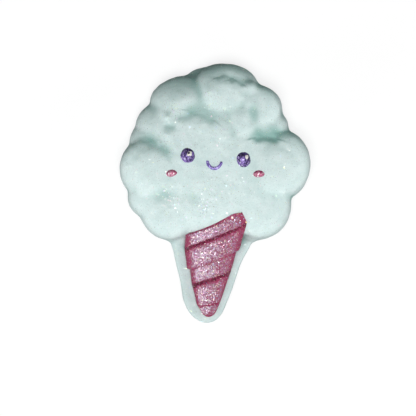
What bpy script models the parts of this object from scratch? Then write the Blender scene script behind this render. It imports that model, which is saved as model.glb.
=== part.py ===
"""Bath bomb pressed in the shape of cotton candy on a paper cone.

Metres, +Z up. The piece lies on its flat back with its face up. The crown of the cloud
points to +Y, the tip of the cone to -Y, and the rest point is the middle of its box.
The whole thing is one pressing: a flat plate, a cloud of rounded puffs, the wrapped cone
in relief, and a small raised face.
"""
import math
from typing import NamedTuple

import bmesh
import bpy
from mathutils import Matrix, Vector
from mathutils.bvhtree import BVHTree

MM = 0.001

# ---- driving sizes, in millimetres -------------------------------------------------
PLATE_TOP = 8.5        # the flat margin left round the cone
SKIRT = 4.0            # how far every form reaches below the flat back before the cut
DRAFT = 0.09           # how far every wall leans in for each unit of height
HEART = (-0.3, 8.2)    # the middle of the cloud, from which the tops of the puffs fall
WALL_FULLNESS = 9.0    # nearly square lower half, so that each puff has a steep wall
PUFF_SIDES = 36
PUFF_RINGS = 18
VOXEL = 0.9            # grain at which the puffs are fused
SOFTENING = 8          # rounds of smoothing that turn creases into soft valleys
CLOUD_TRIANGLES = 6600
PRESS_HEIGHT = 21.0    # height of the tops into which the grooves are pressed

CONE_TIP_Y = -47.6     # the relief runs from here ...
CONE_MOUTH_Y = -7.5    # ... up to here
CONE_TIP_CREST = 12.5  # height of the ridge at the tip and at the mouth
CONE_MOUTH_CREST = 22.9
CONE_TIP_EDGE = 9.7    # height of the painted side wall at the tip and at the mouth
CONE_MOUTH_EDGE = 21.2
CONE_LEFT_FULLNESS = 3.0   # 2 is an elliptic arch, more is boxier
CONE_RIGHT_FULLNESS = 2.2
CONE_FOOT = 4.0        # depth at which the relief starts inside the plate
CONE_RELIEF = 0.35     # the least that it stands out of the cloud
CONE_LIP = 0.35        # width of the steep side of a seam
CONE_TIP_DROP = 2.2    # how far the last turn rounds off at the tip
MOUTH_SEAM = (0.7, 0.45, 0.4)   # depth, width and bow of the edge against the cloud
MOUTH_HITCH = (1.2, 0.66, 0.26)  # how far that edge rises near its right end, where, and how wide

EYE_DEPTH = 1.9
CHEEK_DEPTH = 1.0
SMILE_WIRE = 0.6


class Puff(NamedTuple):
    """A pillow of the cloud: a steep wall closed by a rounded top, in millimetres."""

    name: str
    x: float
    y: float
    half_width: float
    half_length: float
    turn: float          # degrees, anticlockwise
    wall: float          # height where the rounding starts
    top: float
    fullness: float      # 2 is an ellipse, more is flatter on top
    fall: float          # share of its rise that the top loses at its outer edge


PUFFS = (
    Puff("belly", -0.3, 8.2, 29.6, 27.6, 0, 13.0, 23.0, 2.9, 0.0),
    Puff("shoulder", 0.4, 28.0, 24.0, 15.8, 0, 11.0, 21.8, 2.5, 0.35),
    Puff("left_shoulder", -15.5, 29.5, 9.5, 8.5, 0, 11.0, 20.2, 2.6, 0.3),
    Puff("crown", 3.6, 39.6, 13.3, 10.1, -3, 7.5, 20.9, 2.4, 0.3),
    Puff("crown_shoulder", -4.2, 38.3, 10.0, 9.8, 0, 0.5, 16.5, 1.8, 0.3),
    Puff("crown_curl", 3.0, 36.0, 10.5, 8.8, 0, 14.0, 21.8, 3.3, 0.08),
    Puff("top_left", -13.4, 35.8, 12.6, 8.9, 13, 8.0, 19.4, 2.2, 0.4),
    Puff("left_upper", -20.4, 24.4, 11.0, 10.7, 0, 9.0, 19.6, 2.2, 0.4),
    Puff("left_bridge", -26.7, 19.0, 7.0, 7.6, 0, 9.0, 17.2, 2.2, 0.3),
    Puff("left", -24.9, 8.8, 12.8, 12.9, 0, 12.0, 21.0, 2.7, 0.05),
    Puff("left_cap", -23.2, 7.2, 11.4, 12.2, 12, 14.0, 22.1, 3.5, 0.0),
    Puff("left_low", -25.9, -2.2, 8.6, 8.6, 0, 11.0, 19.6, 2.6, 0.05),
    Puff("lower_left", -16.8, -5.4, 13.6, 14.1, 0, 12.0, 21.2, 3.0, 0.05),
    Puff("right_top", 15.6, 31.9, 10.3, 9.6, 0, 12.0, 21.0, 3.2, 0.0),
    Puff("right_top_cap", 19.2, 30.8, 6.8, 8.2, -8, 15.0, 21.2, 3.0, 0.0),
    Puff("right_bridge", 21.6, 25.0, 6.8, 6.2, 0, 11.0, 17.6, 2.4, 0.1),
    Puff("right", 24.3, 10.4, 12.6, 14.1, 0, 12.5, 21.4, 3.2, 0.0),
    Puff("right_cap", 21.6, 8.2, 12.3, 12.2, 0, 14.5, 22.7, 3.6, 0.0),
    Puff("right_low", 16.4, -5.0, 13.0, 14.0, 0, 12.0, 21.2, 3.0, 0.05),
    Puff("pearl_upper", -18.5, 28.4, 3.4, 3.4, 0, 17.0, 20.9, 2.0, 0.1),
    Puff("pearl_lower", -18.5, 21.5, 3.9, 3.9, 0, 18.0, 22.0, 2.0, 0.1),
    Puff("brow_far_left", -12.0, 24.0, 6.6, 6.2, 0, 17.5, 21.8, 2.2, 0.2),
    Puff("brow_left", -5.4, 24.8, 7.2, 6.8, 0, 18.0, 22.7, 2.2, 0.2),
    Puff("brow_middle", 3.0, 21.8, 7.6, 6.8, 0, 19.0, 23.1, 2.2, 0.2),
    Puff("brow_right", 10.0, 26.0, 8.0, 8.4, 0, 18.0, 22.6, 2.6, 0.2),
    Puff("crown_bridge", 12.5, 39.2, 4.4, 4.4, 0, 9.0, 20.6, 2.8, 0.0),
    Puff("throat_left", -13.4, -16.8, 4.4, 5.0, 0, 8.0, 13.5, 2.2, 0.2),
    Puff("throat_right", 13.2, -15.4, 4.4, 4.6, 0, 8.0, 14.0, 2.2, 0.2),
)


class Press(NamedTuple):
    """A soft groove in the cloud: gentle on the left of its run, steep on the right."""

    name: str
    start: tuple
    end: tuple
    bow: float           # how far its middle bends to the left
    gentle: float
    steep: float
    depth: float


PRESSES = (
    Press("curl_top", (0.8, 43.6), (5.4, 43.4), 0.8, 2.2, 0.9, 1.0),
    Press("curl_side", (5.8, 42.4), (9.8, 41.2), 0.7, 2.0, 1.0, 0.8),
    Press("brow_crease", (-9.4, 30.6), (-2.0, 27.6), 0.6, 4.0, 2.0, 0.85),
    Press("brow_fold", (-16.3, 27.4), (-9.5, 28.9), 0.3, 2.5, 1.6, 0.5),
    Press("top_crease", (15.0, 36.6), (14.0, 27.2), 0.5, 2.2, 2.4, 0.7),
    Press("right_valley", (15.6, 20.4), (22.4, 20.1), 0.5, 3.0, 1.6, 1.8),
    Press("outer_valley", (24.3, 22.2), (29.0, 23.4), -0.3, 2.0, 1.6, 1.2),
    Press("left_valley", (-33.5, 19.2), (-23.0, 20.0), 1.6, 3.4, 1.6, 0.5),
    Press("left_arc", (-20.5, 17.0), (-17.5, 13.2), 0.5, 1.6, 1.8, 0.4),
    Press("low_left_dent", (-22.5, -1.6), (-9.8, -2.4), 0.6, 2.8, 2.4, 0.25),
)

# The plate round the cone, from the cloud down its left side, round the tip and up again.
PLATE_OUTLINE = (
    (-17.0, -15.0), (-16.1, -24.0), (-13.5, -35.5), (-11.8, -43.5), (-8.5, -48.5),
    (-3.1, -50.5), (1.3, -48.1), (3.9, -43.2), (9.1, -29.0), (12.4, -15.0),
)


class Band(NamedTuple):
    """One turn of the cone's paper: its left and right ends at its upper and lower edge."""

    name: str
    upper_left: tuple
    upper_right: tuple
    lower_left: tuple
    lower_right: tuple
    bow: float           # how far its lower edge sags between its ends
    seam: float          # depth of the fold along it
    seam_width: float    # how far the fold's gentle side reaches below it


BANDS = (
    Band("collar", (-11.7, -16.5), (9.8, -8.2), (-12.0, -21.3), (11.7, -11.8), 0.45, 0.8, 1.1),
    Band("long_turn", (-12.1, -21.5), (11.7, -12.0), (-11.2, -29.4), (8.9, -22.3), 0.4, 0.25, 0.4),
    Band("short_turn", (-10.0, -29.9), (7.9, -22.9), (-9.4, -35.1), (5.7, -30.1), 0.3, 0.9, 1.2),
    Band("low_turn", (-9.4, -35.4), (5.7, -30.4), (-7.2, -43.6), (1.8, -41.9), 0.3, 0.4, 0.5),
    Band("nub", (-7.1, -43.8), (1.6, -42.2), (-6.0, -45.4), (0.5, -44.9), 2.9, 0.0, 1.0),
)
STATIONS = (0.0, 0.14, 0.35, 0.65, 0.9, 1.0)   # rows of points along each band
ACROSS = 18              # steps from one side of the cone to the other

FACE_TURN = -4.6         # degrees: the face is set a little askew
EYE_LEFT = (-10.75, 13.45)
EYE_RIGHT = (10.25, 12.0)
EYE_HALF = (2.85, 3.08)
CHEEK_LEFT = (-16.7, 6.85)
CHEEK_RIGHT = (16.45, 6.6)
CHEEK_HALF = (2.5, 1.4)
SMILE_MIDDLE = (-0.65, 11.35)
SMILE_RADIUS = 2.65
SMILE_START = 174.0      # degrees round the arc, anticlockwise from +X
SMILE_END = 354.0
SMILE_POINTS = 9


def clear_scene():
    """Start from nothing."""
    for obj in list(bpy.data.objects):
        bpy.data.objects.remove(obj, do_unlink=True)


def new_collection(name):
    """Add a collection to the scene."""
    group = bpy.data.collections.new(name)
    bpy.context.scene.collection.children.link(group)
    return group


def add_object(name, mesh, group, parent):
    """Link a mesh as an object of the group, hung on the rest point."""
    obj = bpy.data.objects.new(name, mesh)
    group.objects.link(obj)
    obj.parent = parent
    return obj


def as_guide(obj):
    """Mark an object as a form that only shapes the pressing."""
    obj.hide_render = True
    obj.display_type = "WIRE"
    return obj


def bath_powder():
    """Pale mint, dry and matt."""
    material = bpy.data.materials.new("mint_powder")
    material.use_nodes = True
    shader = material.node_tree.nodes["Principled BSDF"]
    shader.inputs["Base Color"].default_value = (0.62, 0.77, 0.75, 1.0)
    shader.inputs["Roughness"].default_value = 0.85
    shader.inputs["Metallic"].default_value = 0.0
    return material


def signed_power(value, exponent):
    """Raise a number to a power and keep its sign."""
    return math.copysign(abs(value) ** exponent, value)


def add_puff(bm, puff):
    """Reshape a sphere into a pillow: square below its wall height, domed above it."""
    made = bmesh.ops.create_uvsphere(bm, u_segments=PUFF_SIDES, v_segments=PUFF_RINGS, radius=1.0)
    turn = Matrix.Rotation(math.radians(puff.turn), 2)
    outward = (Vector((puff.x, puff.y)) - Vector(HEART)).normalized()
    for vert in made["verts"]:
        lift = max(-1.0, min(1.0, vert.co.z))
        spread = math.sqrt(max(0.0, 1.0 - lift * lift))
        fullness = puff.fullness if lift > 0 else WALL_FULLNESS
        reach = spread ** (2.0 / fullness)
        heading = vert.co.xy.normalized() if spread > 1e-6 else Vector((0.0, 0.0))
        rise = puff.wall + SKIRT
        if lift > 0:
            rise = (puff.top - puff.wall) * (1.0 - puff.fall * reach * (turn @ heading).dot(outward))
        height = puff.wall + rise * signed_power(lift, 2.0 / fullness)
        lean = DRAFT * max(0.0, min(height, puff.wall))
        arm = turn @ Vector((heading.x * reach * (puff.half_width - lean),
                             heading.y * reach * (puff.half_length - lean)))
        vert.co = Vector((puff.x + arm.x, puff.y + arm.y, height)) * MM


def add_plate(bm):
    """Lay the flat plate: a smooth closed outline, filled and given its thickness."""
    outline = bpy.data.curves.new("plate_outline", "CURVE")
    outline.dimensions = "2D"
    outline.fill_mode = "BOTH"
    outline.extrude = (PLATE_TOP + SKIRT) / 2 * MM
    outline.resolution_u = 6
    spline = outline.splines.new("BEZIER")
    spline.bezier_points.add(len(PLATE_OUTLINE) - 1)
    for point, (x, y) in zip(spline.bezier_points, PLATE_OUTLINE):
        point.co = (x * MM, y * MM, 0.0)
        point.handle_left_type = "AUTO"
        point.handle_right_type = "AUTO"
    spline.use_cyclic_u = True
    holder = bpy.data.objects.new("plate_outline", outline)
    bpy.context.scene.collection.objects.link(holder)
    flat = bpy.data.meshes.new_from_object(holder.evaluated_get(bpy.context.evaluated_depsgraph_get()))
    flat.transform(Matrix.Translation((0.0, 0.0, (PLATE_TOP - SKIRT) / 2 * MM)))
    bm.from_mesh(flat)
    bpy.data.meshes.remove(flat)
    bpy.data.objects.remove(holder, do_unlink=True)
    bmesh.ops.remove_doubles(bm, verts=bm.verts, dist=0.00001)


def press_depth(press, place):
    """How deep a groove is at a place, by the nearest point of its bent run."""
    start, end = Vector(press.start), Vector(press.end)
    left = Vector((-(end - start).y, (end - start).x)).normalized()
    nearest, width = 1000.0, press.gentle
    run = [start.lerp(end, k / 8) + left * (4 * press.bow * k / 8 * (1 - k / 8)) for k in range(9)]
    for a, b in zip(run, run[1:]):
        share = max(0.0, min(1.0, (place - a).dot(b - a) / (b - a).length_squared))
        off = place - a.lerp(b, share)
        if off.length < nearest:
            nearest = off.length
            width = press.gentle if (b - a).cross(off) > 0 else press.steep
    return press.depth * math.exp(-(nearest / width) ** 2)


def cloud_mesh(group):
    """Fuse the plate and the puffs into one soft body, and press the grooves into it."""
    bm = bmesh.new()
    add_plate(bm)
    for puff in PUFFS:
        add_puff(bm, puff)
    rough = bpy.data.meshes.new("puffs")
    bm.to_mesh(rough)
    bm.free()
    puffs = as_guide(add_object("puffs", rough, group, None))
    remesh = puffs.modifiers.new("fuse", "REMESH")
    remesh.mode = "VOXEL"
    remesh.voxel_size = VOXEL * MM
    soften = puffs.modifiers.new("soften", "SMOOTH")
    soften.factor = 0.5
    soften.iterations = SOFTENING
    bpy.context.view_layer.update()
    mesh = bpy.data.meshes.new_from_object(puffs.evaluated_get(bpy.context.evaluated_depsgraph_get()))
    for vert in mesh.vertices:
        place = vert.co.xy / MM
        depth = sum(press_depth(press, place) for press in PRESSES)
        vert.co.z *= 1.0 - depth / PRESS_HEIGHT
    bpy.data.objects.remove(puffs, do_unlink=True)
    return mesh


def floor_cutter(group, parent):
    """A block whose top is the flat back."""
    bm = bmesh.new()
    bmesh.ops.create_cube(bm, size=1.0)
    bmesh.ops.scale(bm, verts=bm.verts, vec=(0.2, 0.2, 0.05))
    bmesh.ops.translate(bm, verts=bm.verts, vec=(0.0, 0.0, -0.025))
    mesh = bpy.data.meshes.new("back_cutter")
    bm.to_mesh(mesh)
    bm.free()
    return as_guide(add_object("back_cutter", mesh, group, parent))


def finish_cloud(obj, cutter):
    """Thin out the body's faces and cut its back flat."""
    obj.data.calc_loop_triangles()
    thin = obj.modifiers.new("thin", "DECIMATE")
    thin.ratio = CLOUD_TRIANGLES / len(obj.data.loop_triangles)
    cut = obj.modifiers.new("flat_back", "BOOLEAN")
    cut.operation = "DIFFERENCE"
    cut.solver = "EXACT"
    cut.object = cutter


def surface_of(obj):
    """A search tree of the body as it stands, for finding its surface."""
    bpy.context.view_layer.update()
    return BVHTree.FromObject(obj, bpy.context.evaluated_depsgraph_get())


def height_at(tree, x, y):
    """Height of the surface over a place, in millimetres."""
    hit, _, _, _ = tree.ray_cast(Vector((x * MM, y * MM, 0.1)), Vector((0.0, 0.0, -1.0)))
    return hit.z / MM


def between(low, high, share):
    """A value part of the way from one to another."""
    return low + (high - low) * share


def cone_height(y, side):
    """Height of the cone's surface: an arch whose ridge and side walls climb to the mouth."""
    along = (y - CONE_TIP_Y) / (CONE_MOUTH_Y - CONE_TIP_Y)
    along = max(0.0, min(1.0, along))
    edge = between(CONE_TIP_EDGE, CONE_MOUTH_EDGE, along ** 3)
    crest = between(CONE_TIP_CREST, CONE_MOUTH_CREST, along)
    fullness = CONE_LEFT_FULLNESS if side < 0 else CONE_RIGHT_FULLNESS
    arch = max(0.0, 1.0 - abs(side) ** fullness) ** (1.0 / fullness)
    return between(edge, crest, arch)


def mouth_hitch(side):
    """How far the cone's upper edge rises at a place from its left side to its right side."""
    rise, middle, width = MOUTH_HITCH
    return rise * math.exp(-((side - middle) / width) ** 2)


def band_row(band, above, along, tree):
    """A row of points across a band, from its left side to its right side.

    The seam above it has a depth, a width and a bow. The row always stands clear of the cloud.
    """
    upper = (Vector(band.upper_left), Vector(band.upper_right))
    lower = (Vector(band.lower_left), Vector(band.lower_right))
    row = []
    for step in range(ACROSS + 1):
        side = -math.cos(math.pi * step / ACROSS)
        share = (side + 1.0) / 2
        sag = (1.0 - side * side) ** 0.7
        top, bottom = upper[0].lerp(upper[1], share), lower[0].lerp(lower[1], share)
        top.y -= above[2] * sag
        if band is BANDS[0]:
            top.y += mouth_hitch(side)
        bottom.y -= band.bow * sag
        place = top.lerp(bottom, along)
        fold = above[0] * math.exp(-((top.y - place.y) / above[1]) ** 2)
        fold += band.seam * math.exp(-((place.y - bottom.y) / CONE_LIP) ** 2)
        if band is BANDS[-1]:
            fold += CONE_TIP_DROP * along ** 4
        height = max(cone_height(place.y, side) - fold, height_at(tree, place.x, place.y) + CONE_RELIEF)
        row.append(Vector((place.x, place.y, height)) * MM)
    return row


def cone_mesh(tree):
    """Loft the wrapped cone through its bands and close it inside the plate."""
    rows = []
    above = MOUTH_SEAM
    for band in BANDS:
        rows += [band_row(band, above, along, tree) for along in STATIONS]
        above = (band.seam, band.seam_width, band.bow)
    rows.append([Vector((p.x, p.y, CONE_FOOT * MM)) for p in rows[-1]])
    bm = bmesh.new()
    rings = []
    for row in rows:
        foot = [Vector((p.x, p.y, CONE_FOOT * MM)) for p in (row[-1], row[0])]
        rings.append([bm.verts.new(p) for p in row + foot])
    for upper, lower in zip(rings, rings[1:]):
        for k in range(len(upper)):
            after = (k + 1) % len(upper)
            bm.faces.new((upper[k], lower[k], lower[after], upper[after]))
    bm.faces.new(rings[0])
    bm.faces.new(list(reversed(rings[-1])))
    bmesh.ops.recalc_face_normals(bm, faces=bm.faces)
    mesh = bpy.data.meshes.new("cone_relief")
    bm.to_mesh(mesh)
    bm.free()
    return mesh


def button_mesh(name, place, half, depth, turn, height):
    """A low dome of the face: an ellipsoid sunk to its middle in the surface."""
    bm = bmesh.new()
    bmesh.ops.create_uvsphere(bm, u_segments=20, v_segments=10, radius=1.0)
    bmesh.ops.scale(bm, verts=bm.verts, vec=(half[0] * MM, half[1] * MM, depth * MM))
    bmesh.ops.rotate(bm, verts=bm.verts, matrix=Matrix.Rotation(math.radians(turn), 3, "Z"))
    bmesh.ops.translate(bm, verts=bm.verts, vec=(place[0] * MM, place[1] * MM, height * MM))
    mesh = bpy.data.meshes.new(name)
    bm.to_mesh(mesh)
    bm.free()
    return mesh


def smile_mesh(tree):
    """A short wire bent to an arc and laid on the face."""
    arc = bpy.data.curves.new("smile", "CURVE")
    arc.dimensions = "3D"
    arc.bevel_depth = SMILE_WIRE * MM
    arc.bevel_resolution = 1
    arc.use_fill_caps = True
    spline = arc.splines.new("POLY")
    spline.points.add(SMILE_POINTS - 1)
    for k, point in enumerate(spline.points):
        angle = math.radians(between(SMILE_START, SMILE_END, k / (SMILE_POINTS - 1)))
        x = SMILE_MIDDLE[0] + SMILE_RADIUS * math.cos(angle)
        y = SMILE_MIDDLE[1] + SMILE_RADIUS * math.sin(angle)
        point.co = (x * MM, y * MM, height_at(tree, x, y) * MM, 1.0)
    holder = bpy.data.objects.new("smile_arc", arc)
    bpy.context.scene.collection.objects.link(holder)
    mesh = bpy.data.meshes.new_from_object(holder.evaluated_get(bpy.context.evaluated_depsgraph_get()))
    bpy.data.objects.remove(holder, do_unlink=True)
    bm = bmesh.new()
    bm.from_mesh(mesh)
    bmesh.ops.remove_doubles(bm, verts=bm.verts, dist=0.00001)
    bm.to_mesh(mesh)
    bm.free()
    return mesh


def face_meshes(tree):
    """The raised face: two eyes, two cheeks and a smile."""
    buttons = (
        ("eye_left", EYE_LEFT, EYE_HALF, EYE_DEPTH, FACE_TURN),
        ("eye_right", EYE_RIGHT, EYE_HALF, EYE_DEPTH, FACE_TURN),
        ("cheek_left", CHEEK_LEFT, CHEEK_HALF, CHEEK_DEPTH, 8.0),
        ("cheek_right", CHEEK_RIGHT, CHEEK_HALF, CHEEK_DEPTH, 0.0),
    )
    meshes = [
        button_mesh(name, place, half, depth, turn, height_at(tree, *place) - 0.4 * depth)
        for name, place, half, depth, turn in buttons
    ]
    return meshes + [smile_mesh(tree)]


def raise_relief(obj, form):
    """Join a raised form to the body."""
    union = obj.modifiers.new(form.name, "BOOLEAN")
    union.operation = "UNION"
    union.solver = "EXACT"
    union.object = form


def centre(rest_point, obj):
    """Shift everything so that the middle of the piece stands over the origin."""
    bpy.context.view_layer.update()
    seen = obj.evaluated_get(bpy.context.evaluated_depsgraph_get())
    corners = [seen.matrix_world @ Vector(corner) for corner in seen.bound_box]
    middle = (Vector(map(min, zip(*corners))) + Vector(map(max, zip(*corners)))) / 2
    rest_point.location = (-middle.x, -middle.y, 0.0)


def build():
    """Make the pressing."""
    clear_scene()
    parts = new_collection("cotton_candy_bath_bomb")
    forms = new_collection("forms")
    rest_point = bpy.data.objects.new("rest_point", None)
    parts.objects.link(rest_point)

    body = add_object("cotton_candy", cloud_mesh(forms), parts, rest_point)
    body.data.materials.append(bath_powder())
    finish_cloud(body, floor_cutter(forms, rest_point))

    tree = surface_of(body)
    for mesh in [cone_mesh(tree)] + face_meshes(tree):
        raise_relief(body, as_guide(add_object(mesh.name, mesh, forms, rest_point)))
    centre(rest_point, body)


build()
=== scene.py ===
"""Looks of a bath bomb pressed in the shape of cotton candy on a wrapped paper cone.

The pressing lies on its flat back with its face up. The crown of the cloud points to +Y
and the tip of the cone to -Y. It is one body of pale mint powder: a cloud of soft puffs, a
flat margin round the cone, and low raised forms for the cone's paper and for a small face.
The raised forms are brushed with rose and violet mica, and fine glitter is dusted on top.

The classes hold their sizes in millimetres of the design. The frame's own box turns them
into metres and puts them in place.
"""
import logging
import math
from dataclasses import dataclass
from enum import Enum
from typing import Iterable, Sequence

import bmesh
import bpy
import numpy as np
from mathutils import Matrix, Vector
from mathutils.bvhtree import BVHTree


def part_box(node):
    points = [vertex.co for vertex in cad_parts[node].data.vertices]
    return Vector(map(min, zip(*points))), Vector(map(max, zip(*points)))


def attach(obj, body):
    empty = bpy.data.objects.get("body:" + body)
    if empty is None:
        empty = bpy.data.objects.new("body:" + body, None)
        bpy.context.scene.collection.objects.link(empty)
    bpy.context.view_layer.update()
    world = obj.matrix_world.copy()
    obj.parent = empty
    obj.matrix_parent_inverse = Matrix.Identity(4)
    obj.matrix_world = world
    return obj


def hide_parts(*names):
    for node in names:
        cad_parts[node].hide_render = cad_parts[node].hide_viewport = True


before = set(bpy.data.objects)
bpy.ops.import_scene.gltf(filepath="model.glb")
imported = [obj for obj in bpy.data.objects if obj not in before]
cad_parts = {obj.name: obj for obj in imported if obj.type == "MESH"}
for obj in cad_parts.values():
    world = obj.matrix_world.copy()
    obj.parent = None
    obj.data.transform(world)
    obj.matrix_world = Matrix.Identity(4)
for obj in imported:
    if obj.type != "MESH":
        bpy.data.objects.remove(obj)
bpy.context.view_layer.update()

LOG = logging.getLogger("bath_bomb")

CAD_NODE = "cotton_candy"
DESIGN_LENGTH = 100.0

Point2 = tuple[float, float]
Point3 = tuple[float, float, float]
Colour = tuple[float, float, float]
Mesh = bpy.types.Mesh
Object = bpy.types.Object
Material = bpy.types.Material
Socket = bpy.types.NodeSocket
BMesh = bmesh.types.BMesh


class Slot(Enum):
    """The record's material slots."""

    POWDER = "mint_powder"
    CONE = "cone_mica"
    EYE = "eye_mica"
    EYE_LIGHT = "eye_light"
    SMILE = "smile_mica"
    CHEEK = "cheek_mica"
    GLITTER = "glitter"


class Body(Enum):
    """The bodies of the frame. Nothing moves, so there is one."""

    ROOT = "root"


# ---- placing


@dataclass(frozen=True)
class Design:
    """Turns millimetres of the design into metres of the frame."""

    unit: float
    shift_x: float = 0.0
    shift_y: float = 0.0

    @classmethod
    def from_frame(cls) -> "Design":
        """Take the unit from the length of the CAD body."""
        low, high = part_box(CAD_NODE)
        return cls(unit=(high[1] - low[1]) / DESIGN_LENGTH)

    def centred_on_cad(self, points: np.ndarray) -> "Design":
        """The same design, with the shift that centres some places in metres on the CAD body."""
        low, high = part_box(CAD_NODE)
        middle = (points.min(axis=0) + points.max(axis=0)) / 2
        return Design(self.unit, (low[0] + high[0]) / 2 - middle[0], (low[1] + high[1]) / 2 - middle[1])

    def place(self, x: float, y: float, z: float) -> Vector:
        """Where a point of the design lies in the frame."""
        return Vector((x * self.unit + self.shift_x, y * self.unit + self.shift_y, z * self.unit))


def between(low: float, high: float, share: float) -> float:
    """A value part of the way from one to another."""
    return low + (high - low) * share


def ease(edge: float, sharpness: float, share: float) -> float:
    """Fall smoothly from 1 to 0 as a share nears the edge; a sharper fall starts later."""
    step = max(0.0, min(1.0, (edge - share) / (edge * (1.0 - sharpness))))
    return step * step * (3.0 - 2.0 * step)


def link_object(name: str, data: bpy.types.ID) -> Object:
    """Put a mesh, a curve, a lamp or a camera in the scene as an object."""
    obj = bpy.data.objects.new(name, data)
    bpy.context.scene.collection.objects.link(obj)
    return obj


def mesh_of(name: str, bm: BMesh) -> Mesh:
    """Turn an edit mesh into a mesh with smooth faces, and free it."""
    mesh = bpy.data.meshes.new(name)
    bm.to_mesh(mesh)
    bm.free()
    mesh.shade_smooth()
    return mesh


def mesh_of_object(obj: Object) -> Mesh:
    """Take the finished mesh of a curve or of a mesh with modifiers, and remove the object."""
    mesh = bpy.data.meshes.new_from_object(obj.evaluated_get(bpy.context.evaluated_depsgraph_get()))
    bpy.data.objects.remove(obj, do_unlink=True)
    return mesh


def points_of(mesh: Mesh) -> np.ndarray:
    """The places of a mesh's vertices, one row each."""
    flat = np.empty(len(mesh.vertices) * 3)
    mesh.vertices.foreach_get("co", flat)
    return flat.reshape(-1, 3)


def normals_of(mesh: Mesh) -> np.ndarray:
    """The normals of a mesh's vertices, one row each."""
    flat = np.empty(len(mesh.vertices) * 3)
    mesh.vertex_normals.foreach_get("vector", flat)
    return flat.reshape(-1, 3)


def move_points(mesh: Mesh, points: np.ndarray) -> None:
    """Give a mesh's vertices new places."""
    mesh.vertices.foreach_set("co", points.reshape(-1))
    mesh.update()


def paint_values(mesh: Mesh, name: str, values: np.ndarray) -> None:
    """Store one number for each vertex under a name that a material can read."""
    layer = mesh.attributes.new(name, "FLOAT", "POINT")
    layer.data.foreach_set("value", values.astype(np.float32))


def relaxed(points: np.ndarray, edges: np.ndarray, rounds: int, share: float = 0.5) -> np.ndarray:
    """Move each point towards the middle of its neighbours, several times.

    Args:
        points: Places, one row each.
        edges: Pairs of point numbers that are neighbours.
        rounds: How many times to do it.
        share: How far each point goes each time, from 0 to 1.

    Returns:
        The new places.
    """
    count = len(points)
    ends = np.concatenate([edges[:, 0], edges[:, 1]])
    others = np.concatenate([edges[:, 1], edges[:, 0]])
    degree = np.maximum(np.bincount(ends, minlength=count), 1)[:, None]
    for _ in range(rounds):
        total = np.stack([np.bincount(ends, points[others, k], count) for k in range(3)], axis=1)
        points = points + share * (total / degree - points)
    return points


def soft_noise(points: np.ndarray, grain: float, seed: int) -> np.ndarray:
    """Smooth noise from -1 to 1, made of crossed waves in seeded directions.

    Args:
        points: Places in metres, one row each.
        grain: The rough size of a bump, in metres.
        seed: Picks the waves.

    Returns:
        One value for each point.
    """
    rng = np.random.default_rng(seed)
    waves = 14
    directions = rng.normal(size=(waves, 3))
    directions /= np.linalg.norm(directions, axis=1)[:, None]
    pitch = 2 * math.pi / (grain * rng.uniform(1.4, 3.2, waves))
    phase = rng.uniform(0, 2 * math.pi, waves)
    return np.sin(points @ (directions * pitch[:, None]).T + phase).sum(axis=1) / math.sqrt(waves)


def swollen(points: np.ndarray, normals: np.ndarray, free: np.ndarray, unevenness: float, unit: float,
            swells: Sequence[tuple[float, float, int]]) -> np.ndarray:
    """Push points in and out along their normals by soft noise.

    Args:
        points: Places, one row each.
        normals: Their normals.
        free: Which of them may move.
        unevenness: The height of a full swell, in millimetres.
        unit: The length of a millimetre.
        swells: For each noise its grain in millimetres, its share and its seed.

    Returns:
        The new places.
    """
    for grain, share, seed in swells:
        swell = soft_noise(points, grain * unit, seed) * share * unevenness * unit
        points = points + normals * (swell * free)[:, None]
    return points


# ---- finishes


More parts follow.
